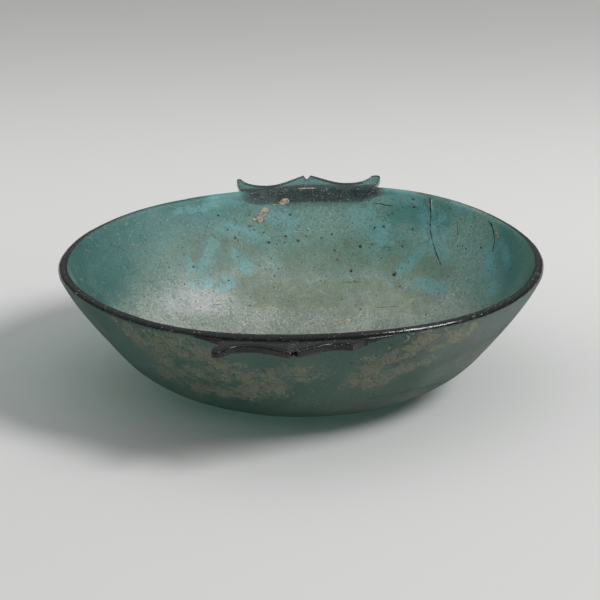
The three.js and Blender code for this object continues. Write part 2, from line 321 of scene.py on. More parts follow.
# Least and greatest radius of each kind of fleck in millimetres
DARK_SPECK_SIZES = (0.12, 0.5)
PALE_SPECK_SIZES = (0.08, 0.34)
HANDLE_SPECK_AND_GLINT_SIZES = (0.07, 0.24)
RIM_GLINT_SIZES = (0.07, 0.26)
WALL_PIT_SIZES = (0.12, 0.4)

# Flecks that aren't placed by a pixel: how many, and where they may lie. The way over
# the rim counts from 0 on the outer face to 1 on the inner one.
# Pale specks on the rim: painted glints
RIM_GLINT_COUNT = 420
RIM_GLINT_SHARES = (0.1, 0.9)
WALL_PIT_COUNT = 500
WALL_PIT_SHARES = (0, 1)
WALL_PIT_TOP = 30 * MM

# Strips: pixels between points, how they taper at their ends, how ragged their edges
# and tops are, how high they stand, and how deep they lie in the glass
STRIP_STEP = 1
TAPER_POINTS = 2
TAPER_START = 0.25
EDGE_RAGGED = 0.9
EDGE_WAVES = 700
EDGE_SHIFT = 3
TOP_LEVEL = 0.6
TOP_ROUGH = 0.8
TOP_WAVES = 1400
TOP_LEAST = 0.2
CRACK_LIFT = 0.12 * MM
DEPOSIT_LIFT = 0.22 * MM
DEPOSIT_RIDGES = 5
STRIP_SINK = 0.03 * MM
STRIP_KEEL = 0.15 * MM

# Noises on the glass: scale, detail, roughness, and the levels that become 0 and 1
BODY_GRAINS = {
    "cloud": (60, 5, 0.55, 0.35, 0.65),
    "patch": (230, 7, 0.68, 0.32, 0.68),
    "grit": (900, 5, 0.7, 0.3, 0.7),
    "dust": (2600, 2, 0.6, 0.35, 0.65),
}
HANDLE_GRAINS = {
    "patch": (260, 6, 0.65, 0.32, 0.68),
    "grit": (1100, 4, 0.7, 0.3, 0.7),
}
MATTER_GRAIN = (3, 0.55, 0.35, 0.65)
FINE_MATTER = 1500
COARSE_MATTER = 900
MOTTLE = {"patch": 0.42, "grit": 0.36, "dust": 0.22}

# Dots in the glass: their scale and the largest one's size. Cells whose random number
# is under the last value have none.
COARSE_DOTS = (380, 0.17)
FINE_DOTS = (820, 0.22)
HANDLE_DOTS = (600, 0.16)
DOTLESS = 0.55

# Stains that the mottle breaks into patches: the painted stain, its weight and the
# mottle's, and the levels between which a patch starts
BROKEN_STAINS = {
    "brown": ("olive", 0.34, 0.95, 0.66, 0.86),
    "blue": ("turquoise", 0.34, 0.9, 0.68, 0.76),
    "tan": ("crust", 0.36, 0.95, 0.72, 0.80),
}
# The painted highlight and the painted shade of the root, which the mottle only thins: two
# levels of it, and the strength at each
THINNED_PAINTED_LIGHT = {
    "highlight_sheen": ("highlight_patch", 0.25, 0.6, 0.45, 1),
    "shadow": ("painted_root_shade", 0.2, 0.6, 0.5, 1),
}

# Colours, as linear red, green and blue. Where there are two, a noise goes from the
# first to the second.
WALL_GLASS = ((0.42, 0.70, 0.66), (0.56, 0.80, 0.74))
FLOOR_GLASS = ((0.68, 0.72, 0.63), (0.80, 0.82, 0.73))
OUTER_GLASS = ((0.34, 0.39, 0.35), (0.46, 0.48, 0.44))
SOIL = ((0.13, 0.14, 0.10), (0.34, 0.345, 0.26))
# The rim's painted shade
LIP_PAINTED_SHADE = (0.008, 0.010, 0.011)
# The handles' lit colour and the colour of their painted shade
HANDLE_LIT = ((0.22, 0.38, 0.36), (0.34, 0.47, 0.44))
HANDLE_SHADED = ((0.008, 0.014, 0.015), (0.025, 0.035, 0.036))
HANDLE_PIT = (0.01, 0.02, 0.02)
DARK_MATTER = ((0.006, 0.012, 0.011), (0.03, 0.045, 0.04))
# Pale specks, some of them painted glints
PALE_AND_GLINT_MATTER = ((0.30, 0.36, 0.34), (0.62, 0.66, 0.64))
TAN_MATTER = ((0.22, 0.18, 0.13), (0.50, 0.44, 0.34))

# Coats over the colour: how strong each is, and its colour
BROWN_COAT = (0.7, (0.34, 0.37, 0.22))
# Painted light on the outer wall's lit side
LIT_GREY_COAT = (0.8, (0.52, 0.53, 0.52))
THIN_COATS = (
    # Painted shade, a deeper and darker teal
    ("teal_shade", 0.72, (0.05, 0.32, 0.33)),
    # A painted highlight, the key lamp's blurred reflection
    ("highlight_sheen", 0.62, (0.66, 0.64, 0.68)),
    ("blue", 0.7, (0.24, 0.60, 0.66)),
    ("veil", 0.9, (0.20, 0.52, 0.52)),
    # Painted shade where the back handle's root shows through the wall
    ("shadow", 0.9, (0.01, 0.035, 0.045)),
)
PIT_COAT = (0.9, (0.01, 0.02, 0.018))

# Shades over the colour: two levels of a noise, the strength at each, and the colour
OUTER_SHADE = (0.45, 0.75, 0, 0.5, (0.20, 0.25, 0.21))
MOTTLE_SHADE = (0.2, 0.75, 0.3, 0, (0.14, 0.24, 0.2))
GRIT_SHADE = (0.05, 0.4, 0.5, 0, (0.08, 0.14, 0.11))

# Where the wall's colour turns into the floor's, and the same for the painted shade of a handle
DEPTH_MOTTLE = 0.5
DEPTH_LEVELS = (0.2, 1.2)
SHADE_PATCH = 0.25
SHADE_LEVELS = (0.1, 1.0)

# How much each layer takes from the clearness of the glass
INSIDE_FILM = (0.09, 0.33)
DUST_FILM = (0.8, 1, 0, 0.16)
BODY_FILM = {
    "cloud": 0.06,
    "grit": 0.05,
    "grey": 0.2,
    # the painted highlight, as a milky film
    "highlight_sheen": 0.16,
    "pale": 0.2,
    "blue": 0.14,
    "veil": 0.35,
    "shadow": 0.25,
    "tan": 0.6,
    "pits": 0.6,
}
HANDLE_FILM = {"patch": 0.07}
HANDLE_LEAST_FILM = 0.03

# Roughness: two levels of the grit, and the roughness at each
BODY_ROUGH = (0.2, 0.8, 0.46, 0.62)
LIP_ROUGH = (0.3, 0.7, 0.1, 0.2)
HANDLE_ROUGH = (0.2, 0.8, 0.14, 0.26)
TAN_ROUGH = 0.85
MATTER_ROUGH = 0.7
FLOOR_ROUGH = 0.9
BODY_SPECULAR = 0.3
HANDLE_SPECULAR = 0.25

# Relief: the weight of each layer, and the depth of it all
BODY_RELIEF = {"grit": 0.8, "patch": 0.6, "pits": -1.5, "tan": 0.7, "dust": 0.25}
BODY_RELIEF_DEPTH = 0.07 * MM
LIP_RELIEF = 0.3
HANDLE_RELIEF = {"grit": 0.7, "patch": 1.0, "pits": -1.5}
HANDLE_RELIEF_DEPTH = 0.03 * MM

# What the glass takes from the light that goes through it: colour and density
BODY_ABSORPTION = ((0.2, 0.76, 0.7), 270)
HANDLE_ABSORPTION = ((0.2, 0.72, 0.68), 330)

# The painted shade of the rim: where it starts on the way over it, how soft its two sides
# are, and the share of the way that it leaves free at the back
LIP_START = 0.1
LIP_SOFT_OUTSIDE = 0.1
LIP_SOFT_INSIDE = 0.12
LIP_FREE_BEHIND = 0.5
LIP_END = 0.999

# The inside turns from wall to floor over this stretch under this height
LOW_TOP = 32 * MM
LOW_STRETCH = 24 * MM

# The painted shade of a handle: its edges by how steep they are, and its root by its reach
EDGE_SHADE = 0.85
EDGE_STEEPNESS = 0.75
EDGE_SOFT = 0.35
ROOT_SHADE_REACH = 7.5 * MM
ROOT_SHADE_SOFT = 4.5 * MM

# The floor: half its width, and its grey at distances behind the bowl's middle, in
# metres. The grey is painted light, lightest near 0.2 m and darker further behind.
# Its blue is a little less than its grey.
FLOOR_HALF_WIDTH = 4.0
FLOOR_LIGHT_FALLOFF = ((0.0, 0.615), (0.07, 0.665), (0.19, 0.715), (0.33, 0.635), (0.48, 0.44), (0.62, 0.40))
FLOOR_BLUE = 0.99

# The key lamp, a soft disk, and the dome over the scene, dim at the horizon
KEY_PLACE = Vector((0.69, -0.215, 0.692)) * 3
KEY_TARGET = Vector((0, 0, 0.02))
KEY_SIZE = 1.15
KEY_POWER = 70
DOME_LOW = 0.03
DOME_HIGH = 0.71

SEED = 7


def lerp(a, b, t):
    return a + (b - a) * t


def smooth(t):
    t = min(1.0, max(0.0, t))
    return t * t * (3 - 2 * t)


def bezier(points, t):
    s = 1 - t
    weights = (s ** 3, 3 * s * s * t, 3 * s * t * t, t ** 3)
    return sum((p * w for p, w in zip(points, weights)), Vector((0, 0)))


def bezier_way(points, t):
    s = 1 - t
    legs = [points[i + 1] - points[i] for i in range(3)]
    way = legs[0] * (s * s) + legs[1] * (2 * s * t) + legs[2] * (t * t)
    return way.normalized()


def face_curves():
    foot = Vector((FOOT_RADIUS, 0))
    knee = Vector((KNEE_RADIUS, KNEE_HEIGHT))
    rim = Vector((RIM_RADIUS, BOWL_HEIGHT - RIM_THICKNESS / 2))
    knee_arm = KNEE_HEIGHT / math.sin(KNEE_SLOPE) / 2
    wall_arm = (rim - knee).length / 3
    knee_way = Vector((math.cos(KNEE_SLOPE), math.sin(KNEE_SLOPE)))
    rim_way = Vector((math.cos(RIM_SLOPE), math.sin(RIM_SLOPE)))
    under = (foot, Vector((FOOT_RADIUS + FOOT_SPREAD, 0)), knee - knee_way * knee_arm, knee)
    wall = (knee, knee + knee_way * wall_arm, rim - rim_way * wall_arm, rim)
    return under, wall


def offset_face(distance_at):
    points = []
    for base, (curve, steps) in enumerate(zip(face_curves(), (UNDER_STEPS, WALL_STEPS))):
        for i in range(base, steps + 1):
            t = i / steps
            way = bezier_way(curve, t)
            points.append(bezier(curve, t) + Vector((way.y, -way.x)) * distance_at(base + t))
    return points


OUTER_FACE = offset_face(lambda s: 0)


def outer_radius(height):
    for a, b in zip(OUTER_FACE, OUTER_FACE[1:]):
        if height <= b.y:
            return lerp(a.x, b.x, (height - a.y) / (b.y - a.y))
    return OUTER_FACE[-1].x


# Thickness from the foot's edge (0) past the knee (1) to the rim (2)
def thickness(s):
    if s < 1:
        return lerp(FLOOR_THICKNESS, WALL_THICKNESS, s)
    return lerp(WALL_THICKNESS, RIM_THICKNESS, (s - 1) ** 2)


def slumped(x, y, z):
    angle = math.atan2(y, x)
    out = min(1, math.hypot(x, y) / RIM_RADIUS)
    rise = sum(h * out ** n * math.cos(n * (angle - crest)) for n, h, crest in RIM_WAVES)
    return Vector((x, y, z + rise * (z / BOWL_HEIGHT) ** 2))


def mesh_object(name, verts, faces, material):
    mesh = bpy.data.meshes.new(name)
    mesh.from_pydata(verts, [], faces)
    mesh.validate()
    mesh.update()
    piece = bpy.data.objects.new(name, mesh)
    bpy.context.scene.collection.objects.link(piece)
    piece.data.materials.append(material)
    mesh.shade_smooth()
    return piece


def store(piece, name, values):
    layer = piece.data.attributes.get(name) or piece.data.attributes.new(name, "FLOAT", "POINT")
    layer.data.foreach_set("value", np.asarray(values, dtype=np.float32))


def stored(piece, name):
    values = np.empty(len(piece.data.vertices), dtype=np.float32)
    piece.data.attributes[name].data.foreach_get("value", values)
    return values

def vectors(piece, name):
    flat = np.empty(len(piece.data.vertices) * 3, dtype=np.float32)
    piece.data.vertices.foreach_get(name, flat)
    return flat.reshape(-1, 3)


def places(piece):
    return vectors(piece, "co")


def wave_at(place, share):
    wave = sum(height * noise.noise(place * scale) for height, scale in WALL_WAVES)
    if 0 < share < 1:
        chips = sum(depth * max(0, noise.noise(place * scale) - level) for depth, scale, level in RIM_CHIPS)
        wave -= chips * math.sin(math.pi * share)
    return wave * min(1, place.z / WAVE_FADE_HEIGHT)


# The slow waves of a cast wall, and the small chips along its rim
def weather(piece):
    at = places(piece)
    shares = stored(piece, "inside")
    waves = [wave_at(Vector(place), share) for place, share in zip(at.astype(float), shares)]
    at += vectors(piece, "normal") * np.array(waves, dtype=np.float32)[:, None]
    piece.data.vertices.foreach_set("co", at.ravel())
    piece.data.update()


def bowl_profile():
    outside = offset_face(lambda s: 0)
    inside = offset_face(lambda s: -thickness(s))[::-1]
    outer_lip, inner_lip = outside[-1], inside[0]
    middle = (outer_lip + inner_lip) / 2
    across = (outer_lip - inner_lip) / 2
    up = Vector((-across.y, across.x))
    lip = [
        middle + across * math.cos(math.pi * i / LIP_STEPS) + up * math.sin(math.pi * i / LIP_STEPS)
        for i in range(1, LIP_STEPS)
    ]
    return outside, lip, inside


def bowl_mesh(material):
    outside, lip, inside = bowl_profile()
    profile = outside + lip + inside
    rows = len(profile)
    verts = []
    for j in range(ROUND_STEPS):
        angle = 2 * math.pi * j / ROUND_STEPS
        for p in profile:
            verts.append(slumped(p.x * math.cos(angle), p.x * math.sin(angle), p.y))
    verts.append(Vector((0, 0, 0)))
    verts.append(Vector((0, 0, FLOOR_THICKNESS)))
    low, high = len(verts) - 2, len(verts) - 1
    faces = []
    for j in range(ROUND_STEPS):
        k = (j + 1) % ROUND_STEPS
        for i in range(rows - 1):
            faces.append((j * rows + i, k * rows + i, k * rows + i + 1, j * rows + i + 1))
        faces.append((low, k * rows, j * rows))
        faces.append((high, j * rows + rows - 1, k * rows + rows - 1))
    piece = mesh_object("bowl_glass", verts, faces, material)
    column = [0] * len(outside) + [i / (LIP_STEPS - 2) for i in range(len(lip))] + [1] * len(inside)
    store(piece, "inside", column * ROUND_STEPS + [0, 1])
    weather(piece)
    return piece


# Half of the bracket outline, from the notch out to the end of the tip. The notch
# lies notch_at from the handle's middle, and loss is how far the edge is worn back.
def half_outline(notch_at, tip_radius, loss):
    tip = Vector((HANDLE_HALF_WIDTH - tip_radius, TIP_REACH - tip_radius - loss))

    def around_tip(angle):
        return tip + Vector((math.cos(angle), math.sin(angle))) * tip_radius

    notch = Vector((notch_at, PEAK_REACH - NOTCH_DEPTH))
    peak = Vector((notch_at + NOTCH_HALF_WIDTH, PEAK_REACH - loss))
    lobe = Vector((LOBE_OFFSET, LOBE_REACH - loss))
    tip_start = around_tip(TIP_TURN)
    tip_way = Vector((math.sin(TIP_TURN), -math.cos(TIP_TURN)))
    cusp = (
        peak,
        Vector((lerp(peak.x, lobe.x, CUSP_START), lerp(peak.y, lobe.y, CUSP_DIP))),
        Vector((lerp(peak.x, lobe.x, CUSP_END), lobe.y)),
        lobe,
    )
    hook = (
        lobe,
        Vector((lerp(lobe.x, tip_start.x, HOOK_START), lobe.y)),
        tip_start - tip_way * HOOK_ARM,
        tip_start,
    )
    points = [notch, (notch + peak) / 2]
    points += [bezier(cusp, i / OUTLINE_STEPS) for i in range(OUTLINE_STEPS + 1)]
    points += [bezier(hook, i / OUTLINE_STEPS) for i in range(1, OUTLINE_STEPS + 1)]
    points += [around_tip(TIP_TURN * (1 - i / TIP_STEPS)) for i in range(1, TIP_STEPS + 1)]
    return points


# Where the wall's face lies behind the rim's tangent line
def wall_reach(offset, height):
    radius = outer_radius(height)
    return math.sqrt(radius * radius - offset * offset) - RIM_RADIUS


def root_height(offset):
    left = (WING_OFFSET - abs(offset)) / (WING_OFFSET - ROOT_FADE_OFFSET)
    left = min(1, max(0, left))
    return lerp(WING_END_HEIGHT, ROOT_THICKNESS + ROOT_FILLET, left ** WING_FADE)


# One closed cross-section of a handle: along the top, round the edge, back
# underneath and down the fillet to the wall. A wing's section hugs the wall.
def handle_ring(offset, reach, hugs, groove=0):
    height = root_height(offset * WAIST_SHARE)
    foot = HANDLE_TOP - height

    def wall_at(level):
        return wall_reach(offset * WAIST_SHARE, level)

    root = wall_at(HANDLE_TOP)
    edge = max(reach, root + WING_END_THICKNESS)

    def share(out):
        return max(0, (out - root) / (PEAK_REACH - root))

    def lip(out):
        return HANDLE_TOP + LIP_RISE * share(out)

    def over(out):
        across = min(1, max(0, (out - root) / (edge - root)))
        dish = 0 if hugs else DISH_DEPTH * math.sin(math.pi * across ** DISH_LEAN)
        return lip(out) - groove * share(out) - dish

    def under(out):
        if hugs:
            return foot
        return lip(out) - lerp(min(ROOT_THICKNESS, height), PEAK_THICKNESS, share(out))

    radius = min(HANDLE_EDGE_RADIUS, (edge - root) / 2, (over(edge) - under(edge)) / 2)
    inner = edge - radius
    ring = []

    def put(out, level):
        spread = smooth((out - root) / (TIP_REACH - root))
        shift = wall_at(level) - root if hugs else 0
        ring.append((offset * lerp(WAIST_SHARE, 1, spread), RIM_RADIUS + out + shift, level))

    put(root - ROOT_DEPTH, HANDLE_TOP)
    for i in range(TOP_STEPS):
        out = lerp(root, inner, i / TOP_STEPS)
        put(out, over(out))
    for i in range(EDGE_STEPS + 1):
        angle = math.pi / 2 * (1 - i / EDGE_STEPS)
        put(inner + radius * math.cos(angle), over(edge) - radius + radius * math.sin(angle))
    for i in range(1, EDGE_STEPS + 1):
        angle = -math.pi / 2 * i / EDGE_STEPS
        put(inner + radius * math.cos(angle), under(edge) + radius + radius * math.sin(angle))
    seat = root if hugs else wall_at(foot + ROOT_FILLET)
    fillet = min(ROOT_FILLET, (inner - seat) / 2)
    start = seat + fillet
    for i in range(1, BELOW_STEPS + 1):
        out = lerp(inner, start, i / BELOW_STEPS)
        put(out, under(out))
    for i in range(1, FILLET_STEPS):
        turn = math.pi / 2 * i / FILLET_STEPS
        put(seat + fillet * (1 - math.sin(turn)), lerp(under(start), foot, 1 - math.cos(turn)))
    last = root if hugs else wall_at(foot)
    put(last, foot)
    put(last - ROOT_DEPTH, foot)
    return ring


# Stations of half a handle, from the notch to the end of its wing
def half_stations(half):
    stations = [(p.x, p.y, False) for p in half_outline(*half)]
    stations[:2] = [(*stations[0], GROOVE_DEPTH), (*stations[1], GROOVE_DEPTH / 2)]
    side = stations[-1][1]
    waist_face = wall_reach(HANDLE_WAIST, HANDLE_TOP) + WING_THICKNESS
    for i in range(1, SIDE_STEPS + 1):
        share = i / (SIDE_STEPS + 1)
        stations.append((HANDLE_HALF_WIDTH + STATION_STEP * share, lerp(side, waist_face, share), False))
    for i in range(WING_STEPS + 1):
        share = i / WING_STEPS
        offset = lerp(HANDLE_WAIST + STATION_STEP, WING_OFFSET, share)
        reach = wall_reach(offset, HANDLE_TOP) + lerp(WING_THICKNESS, WING_END_THICKNESS, share)
        stations.append((offset / WAIST_SHARE, reach, True))
    return stations


def handle_mesh(name, turn, loss, material):
    longer = half_stations((-NOTCH_SHIFT, ROUND_TIP_RADIUS, 0))
    shorter = half_stations((NOTCH_SHIFT, POINTED_TIP_RADIUS, loss))
    mirrored = [(-offset, *rest) for offset, *rest in shorter[:0:-1]]
    rings = [handle_ring(*station) for station in mirrored + longer]
    count = len(rings[0])
    verts = [slumped(turn * x, turn * y, z) for ring in rings for x, y, z in ring]
    faces = []
    for i in range(len(rings) - 1):
        for j in range(count):
            k = (j + 1) % count
            faces.append((i * count + j, (i + 1) * count + j, (i + 1) * count + k, i * count + k))
    faces.append(tuple(range(count)))
    faces.append(tuple(reversed(range((len(rings) - 1) * count, len(rings) * count))))
    return mesh_object(name, verts, faces, material)


# What is missing from the front handle: its +X tip, snapped off close to the wall
def broken_tip(material):
    far = HANDLE_HALF_WIDTH + PEAK_REACH
    face = wall_reach(BREAK_ROOT_OFFSET, BOWL_HEIGHT) + WING_THICKNESS
    outline = (
        (BREAK_OFFSET - BREAK_KINK, far),
        (BREAK_OFFSET, BREAK_REACH),
        ((BREAK_OFFSET + BREAK_ROOT_OFFSET) / 2 - BREAK_KINK, lerp(BREAK_REACH, face, 0.5)),
        (BREAK_ROOT_OFFSET - BREAK_KINK, face),
        (BREAK_ROOT_OFFSET + 2 * BREAK_KINK, face),
        (far, far),
    )
    count = len(outline)
    verts = []
    for level in (-1, 1):
        for x, out in outline:
            verts.append((x, -RIM_RADIUS - out, HANDLE_TOP + level * CUTTER_REACH))
    faces = [tuple(range(count)), tuple(reversed(range(count, 2 * count)))]
    for i in range(count):
        k = (i + 1) % count
        faces.append((i, i + count, k + count, k))
    return mesh_object("broken_tip", verts, faces, material)


# Applies one modifier to a piece for good
def with_modifier(piece, kind, **settings):
    modifier = piece.modifiers.new(kind.lower(), kind)
    for key, value in settings.items():
        setattr(modifier, key, value)
    graph = bpy.context.evaluated_depsgraph_get()
    mesh = bpy.data.meshes.new_from_object(piece.evaluated_get(graph))
    piece.modifiers.clear()
    piece.data = mesh
    mesh.shade_smooth()


def cut(piece, cutter):
    for thing in (piece, cutter):
        data = bmesh.new()
        data.from_mesh(thing.data)
        bmesh.ops.recalc_face_normals(data, faces=data.faces)
        data.to_mesh(thing.data)
        data.free()
    with_modifier(piece, "BOOLEAN", operation="DIFFERENCE", object=cutter, solver="EXACT")
    bpy.data.objects.remove(cutter)


# Gives a piece an even mesh, so that it cuts and smooths well
def evened(piece):
    with_modifier(piece, "REMESH", mode="VOXEL", voxel_size=VOXEL)


def camera_axes():
    back = Vector((
        math.sin(CAMERA_AZIMUTH) * math.cos(CAMERA_ELEVATION),
        -math.cos(CAMERA_AZIMUTH) * math.cos(CAMERA_ELEVATION),
        math.sin(CAMERA_ELEVATION),
    ))
    right = Vector((math.cos(CAMERA_AZIMUTH), math.sin(CAMERA_AZIMUTH), 0))
    return right, back.cross(right), back


# A piece as rays meet it: where a pixel of the photograph falls on its glass
class Surface:
    def __init__(self, piece):
        mesh = piece.data
        self.inside = np.zeros(len(mesh.vertices))
        if "inside" in mesh.attributes:
            self.inside = stored(piece, "inside")
        self.faces = [tuple(p.vertices) for p in mesh.polygons]
        self.tree = BVHTree.FromPolygons([v.co.copy() for v in mesh.vertices], self.faces)

    def seen_at(self, pixel):
        right, up, back = camera_axes()
        eye = CAMERA_TARGET + back * CAMERA_DISTANCE
        across = (pixel[0] - AIM_PIXEL[0]) / FOCAL_PIXELS
        down = (pixel[1] - AIM_PIXEL[1]) / FOCAL_PIXELS
        way = (right * across - up * down - back).normalized()
        point, normal, face, _ = self.tree.ray_cast(eye, way)
        if point is None:
            return None
        return point, normal, self.inside[self.faces[face][0]]

    def all_seen(self, pixels):
        return [hit for hit in map(self.seen_at, pixels) if hit]


# Points along a line of pixels, about every step pixels
def along(line, step):
    points = [line[0]]
    for a, b in zip(line, line[1:]):
        count = max(1, round(math.dist(a, b) / step))
        points += [(lerp(a[0], b[0], i / count), lerp(a[1], b[1], i / count)) for i in range(1, count + 1)]
    return points


# A soft patch of stain, painted highlight, painted light or painted shade, of the given
# radius along each line, only on the face that it was seen on
def painted_patch(piece, surface, name, marks):
    at = places(piece)
    total = np.zeros(len(at), dtype=np.float32)
    for line, radius in marks:
        for point, _, side in surface.all_seen(along(line, PATCH_STEP)):
            away = np.linalg.norm(at - np.array(point, dtype=np.float32), axis=1) / radius
            same_face = np.abs(surface.inside - side) < SAME_FACE
            total = np.maximum(total, np.clip(PATCH_REACH - away, 0, 1) * same_face)
    store(piece, name, total)


# A flat, closed fleck with a ragged outline, lying on the glass
def fleck(verts, faces, point, normal, radius):
    first = len(verts)
    across = normal.orthogonal().normalized()
    other = normal.cross(across)
    verts.append(point + normal * FLECK_RISE)
    verts.append(point - normal * FLECK_KEEL)
    for i in range(FLECK_SIDES):
        turn = math.tau * i / FLECK_SIDES
        reach = radius * random.uniform(*FLECK_RAGGED)
        out = across * (reach * math.cos(turn)) + other * (reach * math.sin(turn))
        verts.append(point + out - normal * FLECK_SINK)
    for i in range(FLECK_SIDES):
        a, b = first + 2 + i, first + 2 + (i + 1) % FLECK_SIDES
        faces.append((first, a, b))
        faces.append((first + 1, b, a))


# A fleck at each marked pixel, and a number of them at random in each box of pixels
def flecks(name, surface, material, marks=(), boxes=(), sizes=PALE_SPECK_SIZES):
    verts, faces = [], []
    for pixel, radius in marks:
        point, normal, _ = surface.seen_at(pixel)
        fleck(verts, faces, point, normal, PIT_SCALE * radius * MM)
    for left, top, right, bottom, count in boxes:
        pixels = [(random.uniform(left, right), random.uniform(top, bottom)) for _ in range(count)]
        for point, normal, _ in surface.all_seen(pixels):
            fleck(verts, faces, point, normal, random.triangular(*sizes, sizes[0]) * MM)
    return dress(mesh_object(name, verts, faces, material))


# Flecks at random over a part of the bowl, also where the photograph doesn't show it
def scattered(name, piece, material, count, shares, sizes, wanted=lambda at: True):
    side = stored(piece, "inside")
    choice = list(np.nonzero((side >= shares[0]) & (side <= shares[1]))[0])
    verts, faces = [], []
    for i in random.sample(choice, count):
        vertex = piece.data.vertices[int(i)]
        if wanted(vertex.co):
            fleck(verts, faces, vertex.co, vertex.normal, random.triangular(*sizes, sizes[0]) * MM)
    return dress(mesh_object(name, verts, faces, material))


# A closed, ragged strip along lines of pixels: a crack, a scratch or a crust
def strips(name, surface, marks, lift, material, across=2):
    verts, faces = [], []
    count = across + 2
    for line, width in marks:
        hits = [hit[:2] for hit in surface.all_seen(along(line, STRIP_STEP))]
        first = len(verts)
        for i, (point, normal) in enumerate(hits):
            ahead = hits[min(i + 1, len(hits) - 1)][0] - hits[max(i - 1, 0)][0]
            side = normal.cross(ahead).normalized()
            taper = smooth(min(i, len(hits) - 1 - i) / TAPER_POINTS + TAPER_START)
            for j in range(across + 1):
                place = 2 * j / across - 1
                shift = Vector((place * EDGE_SHIFT, 0, 0))
                ragged = 1 + EDGE_RAGGED * noise.noise(point * EDGE_WAVES + shift)
                out = point + side * (place * width * MM * taper * ragged / 2)
                rough = TOP_LEVEL + TOP_ROUGH * noise.noise(out * TOP_WAVES)
                rise = lift * (1 - place * place) * max(TOP_LEAST, rough) - STRIP_SINK
                verts.append(out + normal * rise)
            verts.append(point - normal * STRIP_KEEL)
        for i in range(len(hits) - 1):
            for j in range(count):
                k = (j + 1) % count
                a, b = first + i * count, first + (i + 1) * count
                faces.append((a + j, a + k, b + k, b + j))
        faces.append(tuple(first + j for j in reversed(range(count))))
        last = first + (len(hits) - 1) * count
        faces.append(tuple(last + j for j in range(count)))
    return dress(mesh_object(name, verts, faces, material))


def dress(piece):
    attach(piece, "root")
    return piece


